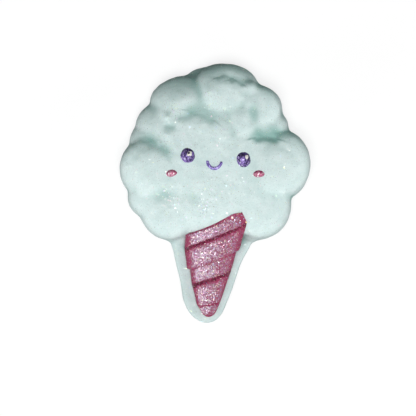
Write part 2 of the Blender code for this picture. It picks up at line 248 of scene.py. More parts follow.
class NodeSheet:
    """A new material with short ways to add, set and join its nodes."""

    def __init__(self, name: str) -> None:
        """Start a material that has its Principled shader and output joined."""
        self.material = bpy.data.materials.new(name)
        self.material.use_nodes = True
        self.tree = self.material.node_tree
        self.shader = self.tree.nodes["Principled BSDF"]

    def add(self, kind: str, inputs: dict | None = None, **settings: object) -> bpy.types.Node:
        """Add a node.

        Args:
            kind: The node's type.
            inputs: Input names or numbers, each with a value or with a socket to join to it.
            settings: The node's own properties.

        Returns:
            The node.
        """
        node = self.tree.nodes.new(kind)
        for key, value in settings.items():
            setattr(node, key, value)
        for key, value in (inputs or {}).items():
            self.feed(node.inputs[key], value)
        return node

    def feed(self, socket: Socket, value: object) -> None:
        """Give a socket a value, or join another socket to it."""
        if isinstance(value, Socket):
            self.tree.links.new(value, socket)
        else:
            socket.default_value = value

    def places(self, stretch: Sequence[float] = (1.0, 1.0, 1.0)) -> Socket:
        """Places on the object, in metres, with each axis stretched for a texture."""
        spot = self.add("ShaderNodeTexCoord").outputs["Object"]
        return self.add("ShaderNodeMapping", {"Vector": spot, "Scale": stretch}).outputs["Vector"]

    def value_of(self, name: str) -> Socket:
        """The number stored on the mesh under a name."""
        return self.add("ShaderNodeAttribute", attribute_name=name).outputs["Fac"]

    def noise(self, grain: float, detail: float = 2.0, stretch: Sequence[float] = (1, 1, 1),
              roughness: float = 0.5) -> Socket:
        """Noise whose bumps are about as large as the grain, in metres."""
        inputs = {"Vector": self.places(stretch), "Scale": 1.0 / grain, "Detail": detail,
                  "Roughness": roughness}
        return self.add("ShaderNodeTexNoise", inputs).outputs["Fac"]

    def grains(self, grain: float, stretch: Sequence[float] = (1, 1, 1)) -> Socket:
        """A random colour for each small cell, in metres, as its three channels."""
        inputs = {"Vector": self.places(stretch), "Scale": 1.0 / grain}
        return self.add("ShaderNodeTexVoronoi", inputs).outputs["Color"]

    def channels(self, colour: Socket) -> list[Socket]:
        """The three channels of a colour."""
        return list(self.add("ShaderNodeSeparateColor", {"Color": colour}).outputs)

    def ramp(self, value: Socket, low: float, high: float,
             to_low: float = 0.0, to_high: float = 1.0) -> Socket:
        """Spread a range of values smoothly over another, clamped at its ends."""
        inputs = {"Value": value, "From Min": low, "From Max": high, "To Min": to_low, "To Max": to_high}
        node = self.add("ShaderNodeMapRange", inputs, interpolation_type="SMOOTHSTEP")
        return node.outputs["Result"]

    def mix(self, share: object, first: object, second: object, blend: str = "MIX") -> Socket:
        """Mix two colours."""
        node = self.add("ShaderNodeMix", data_type="RGBA", blend_type=blend)
        for index, value in ((0, share), (6, first), (7, second)):
            self.feed(node.inputs[index], (*value, 1.0) if isinstance(value, tuple) else value)
        return node.outputs[2]

    def maths(self, operation: str, first: object, second: object = 0.0) -> Socket:
        """One sum on two numbers."""
        node = self.add("ShaderNodeMath", {0: first, 1: second}, operation=operation)
        return node.outputs[0]

    def bump(self, height: Socket, depth: float, strength: float = 1.0,
             under: Socket | None = None) -> Socket:
        """Turn heights from 0 to 1 into a bump of a depth in metres."""
        inputs = {"Height": height, "Distance": depth, "Strength": strength}
        if under is not None:
            inputs["Normal"] = under
        return self.add("ShaderNodeBump", inputs).outputs["Normal"]


@dataclass(frozen=True)
class PowderFinish:
    """Dry pressed bath powder, matt and grainy.

    Its colour holds painted shade: deeper teal in creases and on slopes facing the crown,
    darker low on the piece, and a little painted light high on it.
    """

    name: str = "mint_powder"
    base: Colour = (0.58, 0.71, 0.70)
    pale: Colour = (0.635, 0.755, 0.745)
    # Painted shade: the deep teal mixed in where the mesh stores shade for creases and for slopes facing the
    # crown.
    painted_shade: Colour = (0.24, 0.44, 0.40)
    # Painted shade and light by height: the colour is darker towards the low level and a little lighter
    # towards the high level.
    low: float = 0.0085
    high: float = 0.0225
    low_painted_shade: float = 0.89
    high_painted_light: float = 1.03
    grain: float = 0.00028
    mottle: float = 0.0035
    grain_depth: float = 0.00006

    def material(self) -> Material:
        """Make the material."""
        sheet = NodeSheet(self.name)
        patches = sheet.ramp(sheet.noise(self.mottle, 3.0), 0.35, 0.65)
        colour = sheet.mix(patches, self.base, self.pale)
        # Painted shade: mix the deep teal in by the shade stored on the mesh.
        painted_shade = sheet.maths("MULTIPLY", sheet.value_of("painted_shade"), 0.9)
        colour = sheet.mix(painted_shade, colour, self.painted_shade)
        red, green, _ = sheet.channels(sheet.grains(self.grain))
        # Random grain tone, times painted shade low on the piece and painted light high on it.
        level = sheet.add("ShaderNodeSeparateXYZ", {0: sheet.places()}).outputs["Z"]
        shade = sheet.maths("MULTIPLY", sheet.ramp(red, 0.0, 1.0, 0.955, 1.03),
                            sheet.ramp(level, self.low, self.high, self.low_painted_shade, self.high_painted_light))
        grey = sheet.add("ShaderNodeCombineColor", {0: shade, 1: shade, 2: shade}).outputs[0]
        colour = sheet.mix(1.0, colour, grey, "MULTIPLY")
        sheet.feed(sheet.shader.inputs["Base Color"], colour)
        sheet.feed(sheet.shader.inputs["Roughness"], sheet.ramp(green, 0.0, 1.0, 0.78, 0.95))
        sheet.shader.inputs["Specular IOR Level"].default_value = 0.25
        coarse = sheet.bump(sheet.noise(self.grain * 4, 2.0), self.grain_depth * 1.5, 0.5)
        fine = sheet.bump(sheet.noise(self.grain, 2.0), self.grain_depth, 0.7, coarse)
        sheet.feed(sheet.shader.inputs["Normal"], fine)
        return sheet.material


@dataclass(frozen=True)
class MicaFinish:
    """Mica brushed on thinly, deep where thin and brighter where thick, with painted light and
    shade: the seam colour is painted shade in grooves, the bright colour is partly a painted
    highlight, and the pale flecks are partly painted glints.
    """

    name: str
    # Painted shade: the darkest colour, in the grooves between the cone's turns.
    seam: Colour
    bare: Colour
    deep: Colour
    mid: Colour
    # Thick mica and painted highlight.
    bright: Colour
    # Pale mica flecks, partly painted glints.
    fleck_and_glint: Colour
    metallic: float = 0.35
    roughness: float = 0.42
    grain: float = 0.00034
    streak: float = 0.0009
    spark_share: float = 0.16
    fleck: float = 0.45
    depth: float = 0.00008

    def material(self) -> Material:
        """Make the material."""
        sheet = NodeSheet(self.name)
        cover = sheet.value_of("mica")
        streaks = sheet.noise(self.streak, 3.0, (1.0, 0.3, 1.0), 0.65)
        red, green, blue = sheet.channels(sheet.grains(self.grain, (1.0, 0.7, 1.0)))
        rough_cover = sheet.maths("ADD", cover, sheet.ramp(streaks, 0.3, 0.7, -0.2, 0.2))
        rough_cover = sheet.maths("ADD", rough_cover, sheet.ramp(red, 0.0, 1.0, -self.fleck, self.fleck))
        # Painted shade: the seam colour where the mica value is lowest.
        colour = sheet.mix(sheet.ramp(rough_cover, -1.8, -1.0), self.seam, self.bare)
        colour = sheet.mix(sheet.ramp(rough_cover, -0.8, 0.05), colour, self.deep)
        colour = sheet.mix(sheet.ramp(rough_cover, 0.05, 0.55), colour, self.mid)
        colour = sheet.mix(sheet.ramp(rough_cover, 0.5, 1.1), colour, self.bright)
        # Pale flecks, partly painted glints, only where the mica value is high.
        flecks_and_glints = sheet.maths("MULTIPLY", sheet.ramp(green, 1.0 - self.spark_share, 1.0),
                             sheet.ramp(cover, 0.1, 0.6))
        colour = sheet.mix(flecks_and_glints, colour, self.fleck_and_glint)
        sheet.feed(sheet.shader.inputs["Base Color"], colour)
        sheet.shader.inputs["Metallic"].default_value = self.metallic
        sheet.shader.inputs["Specular IOR Level"].default_value = 0.3
        dull = sheet.ramp(blue, 0.0, 1.0, self.roughness - 0.1, self.roughness + 0.15)
        sheet.feed(sheet.shader.inputs["Roughness"], dull)
        coarse = sheet.bump(streaks, self.depth, 0.6)
        sheet.feed(sheet.shader.inputs["Normal"], sheet.bump(red, self.depth, 0.6, coarse))
        return sheet.material


@dataclass(frozen=True)
class DabFinish:
    """A dab of thick cream paint, a little dirtied by the mica under it."""

    name: str = "eye_light"
    base: Colour = (0.74, 0.73, 0.66)
    stain: Colour = (0.42, 0.40, 0.42)

    def material(self) -> Material:
        """Make the material."""
        sheet = NodeSheet(self.name)
        stain = sheet.ramp(sheet.noise(0.0006, 3.0), 0.5, 0.75, 0.0, 0.8)
        sheet.feed(sheet.shader.inputs["Base Color"], sheet.mix(stain, self.base, self.stain))
        sheet.shader.inputs["Roughness"].default_value = 0.4
        sheet.feed(sheet.shader.inputs["Normal"], sheet.bump(sheet.noise(0.0004, 2.0), 0.00004))
        return sheet.material


@dataclass(frozen=True)
class FlakeFinish:
    """Cut film: each flake mirrors a slightly different tint."""

    name: str
    tint: Colour
    other: Colour

    def material(self) -> Material:
        """Make the material."""
        sheet = NodeSheet(self.name)
        red, green, _ = sheet.channels(sheet.grains(0.0011))
        sheet.feed(sheet.shader.inputs["Base Color"], sheet.mix(red, self.tint, self.other))
        sheet.shader.inputs["Metallic"].default_value = 0.6
        sheet.feed(sheet.shader.inputs["Roughness"], sheet.ramp(green, 0.0, 1.0, 0.17, 0.33))
        return sheet.material


# ---- the cloud


@dataclass(frozen=True)
class Puff:
    """A pillow of the cloud: a slightly leaning wall closed by a rounded top.

    The top falls away from the middle of the cloud: its fall is the share of its rise that
    it loses at its outer edge and gains at its inner edge.
    """

    name: str
    x: float
    y: float
    half_width: float
    half_length: float
    turn: float
    wall: float
    top: float
    fullness: float
    fall: float

    def add_to(self, bm: BMesh, design: Design, cloud: "Cloud") -> None:
        """Reshape a sphere into the pillow: nearly square below its wall, domed above it.

        Args:
            bm: The edit mesh that takes it.
            design: The scale of the design.
            cloud: The cloud, which gives what its puffs share.
        """
        made = bmesh.ops.create_uvsphere(bm, u_segments=cloud.sides, v_segments=cloud.rings, radius=1.0)
        turn = Matrix.Rotation(math.radians(self.turn), 2)
        outward = (Vector((self.x, self.y)) - Vector(cloud.heart)).normalized()
        for vert in made["verts"]:
            lift = max(-1.0, min(1.0, vert.co.z))
            spread = math.sqrt(max(0.0, 1.0 - lift * lift))
            fullness = self.fullness if lift > 0 else cloud.wall_fullness
            rise = (self.top - self.wall) if lift > 0 else self.wall
            reach = spread ** (2.0 / fullness)
            heading = vert.co.xy.normalized() if spread > 1e-6 else Vector((0.0, 0.0))
            side = reach * (turn @ heading).dot(outward)
            tilt = 1.0 - self.fall * side if lift > 0 else 1.0
            height = self.wall + rise * tilt * math.copysign(abs(lift) ** (2.0 / fullness), lift)
            lean = cloud.draft * max(0.0, min(height, self.wall))
            arm = turn @ Vector((heading.x * reach * (self.half_width - lean),
                                 heading.y * reach * (self.half_length - lean)))
            vert.co = design.place(self.x + arm.x, self.y + arm.y, height)


@dataclass(frozen=True)
class Press:
    """A soft groove pressed into the cloud along an arc.

    Seen from its start to its end, it is gentle on its left and steep on its right.
    """

    name: str
    start: Point2
    end: Point2
    bow: float
    gentle: float
    steep: float
    depth: float

    def depth_at(self, x: np.ndarray, y: np.ndarray) -> np.ndarray:
        """How deep the groove is at each place.

        Args:
            x: Places across the design, in millimetres.
            y: Places along it.

        Returns:
            The depths, in millimetres.
        """
        along = np.linspace(0.0, 1.0, 9)
        start, end = np.array(self.start), np.array(self.end)
        side = np.array([-(end - start)[1], (end - start)[0]])
        side = side / max(np.linalg.norm(side), 1e-9)
        route = start + along[:, None] * (end - start) + (4 * self.bow * along * (1 - along))[:, None] * side
        nearest, left = np.full(x.shape, np.inf), np.zeros(x.shape, dtype=bool)
        for a, b in zip(route, route[1:]):
            run = b - a
            share = np.clip(((x - a[0]) * run[0] + (y - a[1]) * run[1]) / max(run @ run, 1e-9), 0, 1)
            off_x, off_y = x - a[0] - share * run[0], y - a[1] - share * run[1]
            gap = np.hypot(off_x, off_y)
            left = np.where(gap < nearest, run[0] * off_y - run[1] * off_x > 0, left)
            nearest = np.minimum(nearest, gap)
        return self.depth * np.exp(-(nearest / np.where(left, self.gentle, self.steep)) ** 2)


@dataclass
class Cloud:
    """The mint body: the cloud of puffs and the flat margin round the cone.

    The puffs share how square their lower halves are, how far their walls lean in for each
    millimetre of height, and the heart that they lean away from.
    """

    puffs: tuple[Puff, ...]
    presses: tuple[Press, ...]
    plate_outline: tuple[Point2, ...]
    finish: PowderFinish
    plate_top: float = 8.5
    voxel: float = 0.4
    softening: int = 40
    wall_fullness: float = 9.0
    draft: float = 0.09
    heart: Point2 = (-0.3, 8.2)
    press_height: float = 21.0
    sides: int = 64
    rings: int = 32
    back_level: float = 0.2
    back_corners: int = 8
    swell_level: float = 1.5
    unevenness: float = 0.09
    swells: tuple[tuple[float, float, int], ...] = ((5.0, 1.0, 3), (1.6, 0.35, 5), (0.8, 0.15, 7))
    # Painted shade: how deep creases are measured, how much shade slopes facing the crown get, and how far
    # it is blurred.
    hollow_reach: int = 80
    hollow_scale: float = 0.4
    crown_side_shade: float = 0.35
    brow_side_shade: float = 0.5
    hollow_blur: int = 28

    def build(self, design: Design) -> tuple[Object, Design]:
        """Fuse the puffs and the plate into one soft body and dress it.

        Args:
            design: The scale of the design.

        Returns:
            The body, and the design centred on the CAD body.
        """
        mesh = self._fused(design)
        edges = np.array([edge.vertices[:] for edge in mesh.edges])
        points = relaxed(points_of(mesh), edges, self.softening)
        design = design.centred_on_cad(points)
        points[:, 0] += design.shift_x
        points[:, 1] += design.shift_y
        move_points(mesh, points)
        points = self._pressed(mesh, design)
        points[:, 2] = np.where(points[:, 2] < self.back_level * design.unit, 0.0, points[:, 2])
        move_points(mesh, points)
        self._measure_hollows(mesh, points, edges, design)
        body = link_object("cloud_body", self._flat_backed(mesh))
        body.data.materials.append(self.finish.material())
        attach(body, Body.ROOT.value)
        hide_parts(CAD_NODE)
        return body, design

    def _fused(self, design: Design) -> Mesh:
        """Join the closed forms and remesh them into one even skin.

        Args:
            design: The scale of the design.

        Returns:
            The skin.
        """
        bm = bmesh.new()
        self._add_plate(bm, design)
        for puff in self.puffs:
            puff.add_to(bm, design, self)
        rough = link_object("cloud_forms", mesh_of("cloud_forms", bm))
        remesh = rough.modifiers.new("fuse", "REMESH")
        remesh.mode = "VOXEL"
        remesh.voxel_size = self.voxel * design.unit
        mesh = mesh_of_object(rough)
        mesh.name = "cloud_body"
        return mesh

    def _add_plate(self, bm: BMesh, design: Design) -> None:
        """Lay the flat plate: a smooth closed outline, filled and given its thickness.

        Args:
            bm: The edit mesh that takes it.
            design: The scale of the design.
        """
        outline = bpy.data.curves.new("plate_outline", "CURVE")
        outline.dimensions = "2D"
        outline.fill_mode = "BOTH"
        outline.extrude = self.plate_top / 2 * design.unit
        outline.resolution_u = 12
        spline = outline.splines.new("BEZIER")
        spline.bezier_points.add(len(self.plate_outline) - 1)
        for point, (x, y) in zip(spline.bezier_points, self.plate_outline):
            point.co = design.place(x, y, 0.0)
            point.handle_left_type = "AUTO"
            point.handle_right_type = "AUTO"
        spline.use_cyclic_u = True
        flat = mesh_of_object(link_object("plate_outline", outline))
        flat.transform(Matrix.Translation((0.0, 0.0, self.plate_top / 2 * design.unit)))
        bm.from_mesh(flat)
        bpy.data.meshes.remove(flat)
        bmesh.ops.remove_doubles(bm, verts=bm.verts, dist=0.00001)

    def _pressed(self, mesh: Mesh, design: Design) -> np.ndarray:
        """Press the grooves in from above and make the skin a little uneven.

        Args:
            mesh: The body.
            design: The scale and place of the design.

        Returns:
            The new places of its vertices.
        """
        points = points_of(mesh)
        x = (points[:, 0] - design.shift_x) / design.unit
        y = (points[:, 1] - design.shift_y) / design.unit
        depth = sum(press.depth_at(x, y) for press in self.presses)
        points[:, 2] *= 1.0 - depth / self.press_height
        move_points(mesh, points)
        raised = points[:, 2] > self.swell_level * design.unit
        return swollen(points, normals_of(mesh), raised, self.unevenness, design.unit, self.swells)

    def _measure_hollows(self, mesh: Mesh, points: np.ndarray, edges: np.ndarray, design: Design) -> None:
        """Store the painted shade of each vertex, for the paint.

        It is how far the vertex lies below a relaxed skin, as a share of a full crease depth, with
        more painted shade where the skin leans to the crown, away from the main lamp.

        Args:
            mesh: The body.
            points: Its vertices.
            edges: Pairs of vertex numbers that are neighbours.
            design: The scale of the design.
        """
        normals = normals_of(mesh)
        near = relaxed(points, edges, self.hollow_reach)
        wide = relaxed(near, edges, 2 * self.hollow_reach)
        depth = ((near - points) * normals).sum(axis=1) / (self.hollow_scale * design.unit)
        depth += ((wide - near) * normals).sum(axis=1) / (2 * self.hollow_scale * design.unit)
        depth = relaxed(np.clip(depth, 0.0, 1.0)[:, None].repeat(3, axis=1), edges, self.hollow_blur)
        # Painted shade on slopes that face the crown, away from the main lamp, most on the steepest.
        lean = self.crown_side_shade * np.clip((normals[:, 1] - 0.15) / 0.5, 0.0, 1.0)
        lean += self.brow_side_shade * np.clip((normals[:, 1] - 0.6) / 0.3, 0.0, 1.0)
        paint_values(mesh, "painted_shade", np.clip(depth[:, 0] + lean, 0.0, 1.0))

    def _flat_backed(self, mesh: Mesh) -> Mesh:
        """Replace the many small faces of the flat back by one.

        Args:
            mesh: The body.

        Returns:
            The same mesh.
        """
        bm = bmesh.new()
        bm.from_mesh(mesh)
        back = [face for face in bm.faces if all(vert.co.z <= 0.0 for vert in face.verts)]
        bmesh.ops.dissolve_faces(bm, faces=back, use_verts=True)
        mesh.clear_geometry()
        bm.to_mesh(mesh)
        bm.free()
        mesh.shade_smooth()
        for polygon in mesh.polygons:
            if len(polygon.vertices) > self.back_corners:
                polygon.use_smooth = False
        return mesh


# ---- the cone


@dataclass(frozen=True)
class Seam:
    """An edge where one turn of paper ends on the next: steep above and gentle below."""

    depth: float
    width: float
    bow: float


@dataclass(frozen=True)
class Band:
    """One turn of the cone's paper: the ends of its upper and lower edge, and its lower seam."""

    name: str
    upper_left: Point2
    upper_right: Point2
    lower_left: Point2
    lower_right: Point2
    seam: Seam


@dataclass
class WrappedCone:
    """The raised cone with its slanted turns of paper, brushed with rose mica."""

    bands: tuple[Band, ...]
    finish: MicaFinish
    tip_y: float = -47.6
    mouth_y: float = -7.5
    tip_crest: float = 12.5
    mouth_crest: float = 22.9
    tip_edge: float = 9.7
    mouth_edge: float = 21.2
    left_fullness: float = 3.0
    right_fullness: float = 2.2
    foot: float = 4.0
    stations: int = 36
    across: int = 84
    lip: float = 0.35
    relief: float = 0.35
    tip_drop: float = 2.2
    left_margin: float = 0.17
    right_margin: float = 0.14
    tip_margin: float = 0.3
    # Thick mica and a painted highlight: the coat peaks towards the cone's lit left side and fades to the
    # right.
    coat_and_highlight_at: float = -0.62
    coat_and_highlight_width: float = 0.72
    mouth_extra: float = 0.15
    margin_mica: float = -0.9
    # Painted shade in the seams' grooves: the value that gives the seam colour.
    seam_painted_shade: float = -1.9
    mouth_seam: Seam = Seam(0.7, 0.45, 0.4)
    mouth_hitch: float = 1.2
    hitch_at: float = 0.66
    hitch_width: float = 0.26
    unevenness: float = 0.05
    swells: tuple[tuple[float, float, int], ...] = ((3.0, 1.0, 11), (0.9, 0.6, 13))

    def build(self, design: Design, ground: "Ground") -> Object:
        """Loft the cone through its bands, roughen it a little and dress it.

        Args:
            design: The scale and place of the design.
            ground: The mint body's surface, which the coat stays above.

        Returns:
            The cone's coat.
        """
        rows, covers = [], []
        above = self.mouth_seam
        for band in self.bands:
            for step in range(self.stations):
                row, cover = self._band_row(band, above, step / (self.stations - 1))
                rows.append([self._above(ground, design, place) for place in row])
                covers.append(cover)
            above = band.seam
        rows.append([(x, y, self.foot) for x, y, _ in rows[-1]])
        covers.append(covers[-1])
        coat = link_object("cone_coat", mesh_of("cone_coat", self._skinned(rows, covers, design)))
        points = points_of(coat.data)
        free = points[:, 2] > (self.foot + 0.5) * design.unit
        move_points(coat.data, swollen(points, normals_of(coat.data), free, self.unevenness, design.unit,
                                       self.swells))
        coat.data.materials.append(self.finish.material())
        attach(coat, Body.ROOT.value)
        return coat

    def _skinned(self, rows: list[list[Point3]], covers: list[list[float]], design: Design) -> BMesh:
        """Close each row over the foot, and join the rings into one closed skin.

        Args:
            rows: Points across the cone, from its mouth to its tip.
            covers: How thickly the mica lies on each.
            design: The scale and place of the design.

        Returns:
            The edit mesh.
        """
        bm = bmesh.new()
        layer = bm.verts.layers.float.new("mica")
        rings = []
        for row, cover in zip(rows, covers):
            foot = [(row[-1][0], row[-1][1], self.foot), (row[0][0], row[0][1], self.foot)]
            ring = [bm.verts.new(design.place(*place)) for place in row + foot]
            for vert, value in zip(ring, cover + [0.0, 0.0]):
                vert[layer] = value
            rings.append(ring)
        for upper, lower in zip(rings, rings[1:]):
            for k in range(len(upper)):
                after = (k + 1) % len(upper)
                bm.faces.new((upper[k], lower[k], lower[after], upper[after]))
        bm.faces.new(rings[0])
        bm.faces.new(list(reversed(rings[-1])))
        bmesh.ops.recalc_face_normals(bm, faces=bm.faces)
        return bm

    def _band_row(self, band: Band, above: Seam, along: float) -> tuple[list[Point3], list[float]]:
        """A row of points across a band, and how thickly the mica lies on each.

        Args:
            band: The band.
            above: The seam over it.
            along: The share of the way from its upper to its lower edge.

        Returns:
            The points, and a share of mica for each.
        """
        row, cover = [], []
        for step in range(self.across + 1):
            side = -math.cos(math.pi * step / self.across)
            share = (side + 1.0) / 2
            round_off = (1.0 - side * side) ** 0.7
            top = Vector(band.upper_left).lerp(Vector(band.upper_right), share)
            bottom = Vector(band.lower_left).lerp(Vector(band.lower_right), share)
            hitch = math.exp(-((side - self.hitch_at) / self.hitch_width) ** 2)
            top.y -= above.bow * round_off - self.mouth_hitch * hitch * (band is self.bands[0])
            bottom.y -= band.seam.bow * round_off
            place = top.lerp(bottom, along)
            over = math.exp(-((top.y - place.y) / above.width) ** 2)
            under = math.exp(-((place.y - bottom.y) / self.lip) ** 2)
            height = self._height(place.y, side) - above.depth * over - band.seam.depth * under
            if band is self.bands[-1]:
                height -= self.tip_drop * along ** 4
            row.append((place.x, place.y, height))
            cover.append(self._mica(band, above, side, along, top.y - place.y, under))
        return row, cover

    def _mica(self, band: Band, above: Seam, side: float, along: float, below_top: float,
              under: float) -> float:
        """How thickly the mica lies, with painted light and shade: thickest on the left, with a
        painted highlight there, thin at the margins, and painted shade in the seams.

        Args:
            band: The band.
            above: The seam over it.
            side: From -1 at the cone's left edge to 1 at its right.
            along: The share of the way from the band's upper to its lower edge.
            below_top: How far the point lies below the band's upper edge.
            under: How much the point lies on the band's lower lip.

        Returns:
            From 1 where it is thick and lit to -2 where the seams hold painted shade.
        """
        share = (side + 1.0) / 2
        # Thick coat with a painted highlight on the left, fading to the right.
        coat = math.exp(-((side - self.coat_and_highlight_at) / self.coat_and_highlight_width) ** 2) * (1.0 - 0.5 * under)
        margin = max(ease(self.left_margin, 0.1, share), ease(self.right_margin, 0.1, 1.0 - share))
        if band is self.bands[-1]:
            margin = max(margin, ease(self.tip_margin, 0.25, 1.0 - along))
        # Painted shade just below each seam, where the groove lies in shade.
        fold = math.exp(-(below_top / (1.4 * above.width)) ** 2)
        if band is self.bands[0]:
            coat, margin, fold = coat + self.mouth_extra, max(margin, 0.9 * fold), 0.0
        bare = min(1.0, 1.35 * above.depth * fold)
        return between(between(coat, self.margin_mica, margin), self.seam_painted_shade, bare)

    def _above(self, ground: "Ground", design: Design, place: Point3) -> Point3:
        """Lift a point until it stands clear of the mint body."""
        spot = design.place(*place)
        hit, _ = ground.at(spot.x, spot.y)
        level = hit.z / design.unit + self.relief if hit is not None else 0.0
        return place[0], place[1], max(place[2], level)

    def _height(self, y: float, side: float) -> float:
        """Height of the surface: an arch whose ridge and side walls climb to the mouth."""
        along = max(0.0, min(1.0, (y - self.tip_y) / (self.mouth_y - self.tip_y)))
        edge = between(self.tip_edge, self.mouth_edge, along ** 3)
        crest = between(self.tip_crest, self.mouth_crest, along)
        fullness = self.left_fullness if side < 0 else self.right_fullness
        arch = max(0.0, 1.0 - abs(side) ** fullness) ** (1.0 / fullness)
        return between(edge, crest, arch)


# ---- the face


@dataclass(frozen=True)
class Ground:
    """The finished surface of the body, for setting things on it."""

    tree: BVHTree

    @classmethod
    def of(cls, *objects: Object) -> "Ground":
        """Search the surface of some objects at once."""
        bm = bmesh.new()
        for obj in objects:
            bm.from_mesh(obj.data)
        tree = BVHTree.FromBMesh(bm)
        bm.free()
        return cls(tree)

    def at(self, x: float, y: float) -> tuple[Vector, Vector]:
        """The surface's place and normal over a point, in metres."""
        hit, normal, _, _ = self.tree.ray_cast(Vector((x, y, 0.1)), Vector((0.0, 0.0, -1.0)))
        return hit, normal


@dataclass(frozen=True)
class Button:
    """A low raised dome of the face: an ellipsoid sunk in the surface."""

    name: str
    at: Point2
    half: Point2
    depth: float
    turn: float
    slot: Slot
    seed: int
    sunk: float = 0.4
    wobble: float = 0.025
    segments: int = 56
    rings: int = 28
    coat: float = 0.5

    def build(self, design: Design, ground: Ground, material: Material) -> Object:
        """Set the dome on the body.

        Args:
            design: The scale and place of the design.
            ground: The body's surface.
            material: The coat brushed on it.

        Returns:
            The dome.
        """
        foot = design.place(*self.at, 0.0)
        hit, _ = ground.at(foot.x, foot.y)
        bm = bmesh.new()
        bmesh.ops.create_uvsphere(bm, u_segments=self.segments, v_segments=self.rings, radius=1.0)
        layer = bm.verts.layers.float.new("mica")
        size = Vector((self.half[0], self.half[1], self.depth)) * design.unit
        turn = Matrix.Rotation(math.radians(self.turn), 3, "Z")
        middle = Vector((hit.x, hit.y, hit.z - self.sunk * self.depth * design.unit))
        points = np.array([vert.co[:] for vert in bm.verts])
        uneven = soft_noise(points, 0.55, self.seed) * self.wobble
        uneven = uneven + soft_noise(points, 0.2, self.seed + 1) * self.wobble / 2
        for vert, swell in zip(bm.verts, uneven):
            vert[layer] = self._cover(vert.co)
            shaped = Vector((vert.co.x * size.x, vert.co.y * size.y, vert.co.z * size.z)) * (1.0 + swell)
            vert.co = turn @ shaped + middle
        obj = link_object(self.name, mesh_of(self.name, bm))
        obj.data.materials.append(material)
        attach(obj, Body.ROOT.value)
        return obj

    def _cover(self, spot: Vector) -> float:
        """How thickly the mica lies, with painted light and shade: lighter low and to the left on
        the dome, darker towards its upper right, and nearer a middle tone at its foot.
        """
        return max(-1.0, min(1.0, self.coat - 0.4 * spot.y - 0.2 * spot.x)) * max(0.0, spot.z) ** 0.3


@dataclass(frozen=True)
class Smile:
    """A short raised arc, thicker in its middle."""

    middle: Point2 = (-0.65, 11.35)
    radius: float = 2.65
    start: float = 174.0
    end: float = 354.0
    thickness: float = 0.68
    unevenness: float = 0.06
    steps: int = 30

    def build(self, design: Design, ground: Ground, material: Material) -> Object:
        """Bend a tapered wire to the arc and lay it on the face.

        Args:
            design: The scale and place of the design.
            ground: The body's surface.
            material: The coat brushed on it.

        Returns:
            The smile.
        """
        arc = bpy.data.curves.new("smile", "CURVE")
        arc.dimensions = "3D"
        arc.bevel_depth = self.thickness * design.unit
        arc.bevel_resolution = 5
        arc.use_fill_caps = True
        spline = arc.splines.new("POLY")
        spline.points.add(self.steps - 1)
        for k, point in enumerate(spline.points):
            share = k / (self.steps - 1)
            angle = math.radians(between(self.start, self.end, share))
            spot = design.place(self.middle[0] + self.radius * math.cos(angle),
                                self.middle[1] + self.radius * math.sin(angle), 0.0)
            hit, _ = ground.at(spot.x, spot.y)
            point.co = (spot.x, spot.y, hit.z, 1.0)
            point.radius = 0.6 + 0.4 * math.sin(math.pi * min(1.0, 0.08 + share * 0.9)) ** 0.5
        mesh = mesh_of_object(link_object("smile_arc", arc))
        bm = bmesh.new()
        bm.from_mesh(mesh)
        bpy.data.meshes.remove(mesh)
        bmesh.ops.remove_doubles(bm, verts=bm.verts, dist=0.000001)
        obj = link_object("smile_coat", mesh_of("smile_coat", bm))
        points = points_of(obj.data)
        swell = soft_noise(points, 0.9 * design.unit, 21)[:, None]
        points += swell * normals_of(obj.data) * self.unevenness * design.unit
        move_points(obj.data, points)
        paint_values(obj.data, "mica", 0.45 + 0.35 * soft_noise(points, 1.2 * design.unit, 22))
        obj.data.materials.append(material)
        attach(obj, Body.ROOT.value)
        return obj


# ---- glitter


@dataclass(frozen=True)
class Cluster:
    """A place where more glitter fell."""

    at: Point2
    spread: float
    gain: float


@dataclass(frozen=True)
class FlakeKind:
    """One colour of glitter, with how many flakes fell on the cloud and on the cone."""

    name: str
    finish: FlakeFinish
    on_cloud: int
    on_cone: int
    radius: float
    seed: int


